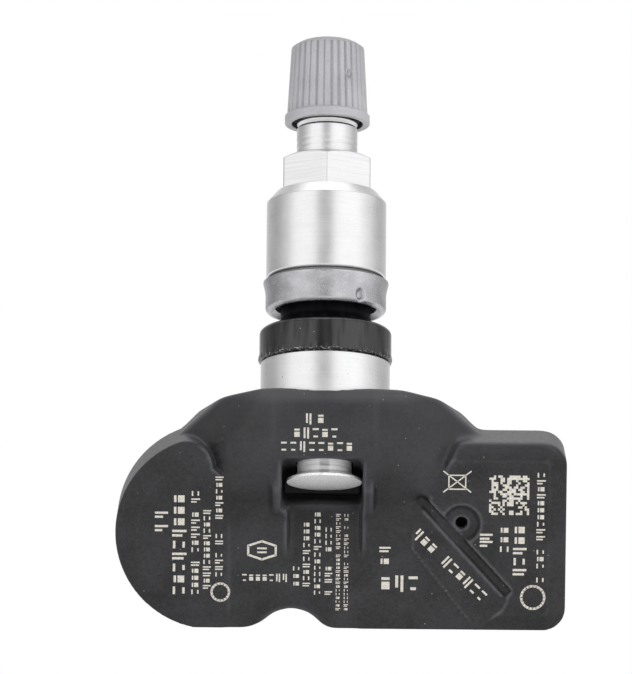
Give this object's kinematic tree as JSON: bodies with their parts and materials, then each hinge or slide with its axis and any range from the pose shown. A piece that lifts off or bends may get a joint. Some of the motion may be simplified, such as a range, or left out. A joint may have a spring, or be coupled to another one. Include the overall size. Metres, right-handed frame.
{
  "type": "tyre pressure sensor",
  "caption": "Clamp-in tyre pressure sensor: fluted cap on a threaded alloy valve with hex nut, washer and rubber seal; a ball foot carries the leaning plastic sensor housing.",
  "frame": {"origin": "on the valve axis, on the seal's face that the wheel rim is clamped against", "axes": "+Z along the valve towards its cap, -Y towards the printed side of the housing, +X to the right seen from that side"},
  "size_m": [0.0564, 0.0236, 0.0751],
  "materials": {
    "stem_alloy": "satin, fine turning lines",
    "foot_alloy": "satin, grainy end face",
    "seal_rubber": "moulded, slightly shiny",
    "washer_alloy": "tumbled, dull grey",
    "nut_alloy": "satin, turned",
    "cap_plastic": "grey, fluted, lightly grained",
    "gasket_rubber": "moulded",
    "core_brass": "turned",
    "spring_steel": "drawn wire",
    "housing_plastic": "charcoal, fine grain, laser marked",
    "cover_plastic": "charcoal, smooth",
    "board_laminate": "green lacquer",
    "cell_steel": "bright",
    "insulator_film": "thin film",
    "tab_steel": "stamped",
    "chip_plastic": "moulded",
    "lid_steel": "stamped",
    "filter_membrane": "white membrane",
    "coil_ferrite": "pressed, dull",
    "coil_copper": "lacquered wire",
    "antenna_brass": "stamped strip",
    "capacitor_ceramic": "fired",
    "resistor_ceramic": "glazed"
  },
  "bodies": {
    "valve": {"valve_stem": "stem_alloy", "valve_foot": "foot_alloy", "rim_seal": "seal_rubber", "core_barrel": "core_brass", "core_gasket": "gasket_rubber", "core_spring": "spring_steel"},
    "sensor": {"housing": "housing_plastic", "back_cover": "cover_plastic", "circuit_board": "board_laminate", "battery_cell": "cell_steel", "battery_insulator": "insulator_film", "battery_tab_positive": "tab_steel", "battery_tab_negative": "tab_steel", "sensor_chip": "chip_plastic", "sensor_chip_lid": "lid_steel", "port_filter": "filter_membrane", "port_seal": "gasket_rubber", "coil_core": "coil_ferrite", "coil_winding": "coil_copper", "crystal_can": "lid_steel", "antenna_strip": "antenna_brass", "transmitter_chip": "chip_plastic", "capacitors": "capacitor_ceramic", "resistors": "resistor_ceramic"},
    "washer": {"nut_washer": "washer_alloy"},
    "nut": {"valve_nut": "nut_alloy"},
    "gasket": {"cap_gasket": "gasket_rubber"},
    "cap": {"valve_cap": "cap_plastic"},
    "core": {"core_pin": "core_brass", "core_plunger": "core_brass", "plunger_seal": "gasket_rubber"}
  },
  "joints": [
    {"name": "housing_tilt", "type": "hinge", "parent": "valve", "child": "sensor", "pos_m": [0, 0, -0.008], "axis": [1, 0, 0], "range_deg": [-10, 10]},
    {"name": "washer_slide", "type": "slide", "parent": "valve", "child": "washer", "axis": [0, 0, 1], "range_m": [-0.002, 0.004]},
    {"name": "nut_turn", "type": "hinge", "parent": "washer", "child": "nut", "pos_m": [0, 0, 0.012], "axis": [0, 0, 1], "range_deg": [-908, 1816]},
    {"name": "cap_slide", "type": "slide", "parent": "valve", "child": "gasket", "axis": [0, 0, 1], "range_m": [0, 0.0111]},
    {"name": "cap_turn", "type": "hinge", "parent": "gasket", "child": "cap", "pos_m": [0, 0, 0.032], "axis": [0, 0, 1], "range_deg": [0, 5040]},
    {"name": "core_press", "type": "slide", "parent": "valve", "child": "core", "axis": [0, 0, 1], "range_m": [-0.0015, 0], "stiffness_N_per_m": 500, "springref_m": 0.002, "deforming": ["core_spring"]}
  ],
  "couplings": [
    {"joint": "nut_turn", "follows": "washer_slide", "rad_per_m": 7915.8},
    {"joint": "cap_turn", "follows": "cap_slide", "rad_per_m": 7915.8}
  ]
}
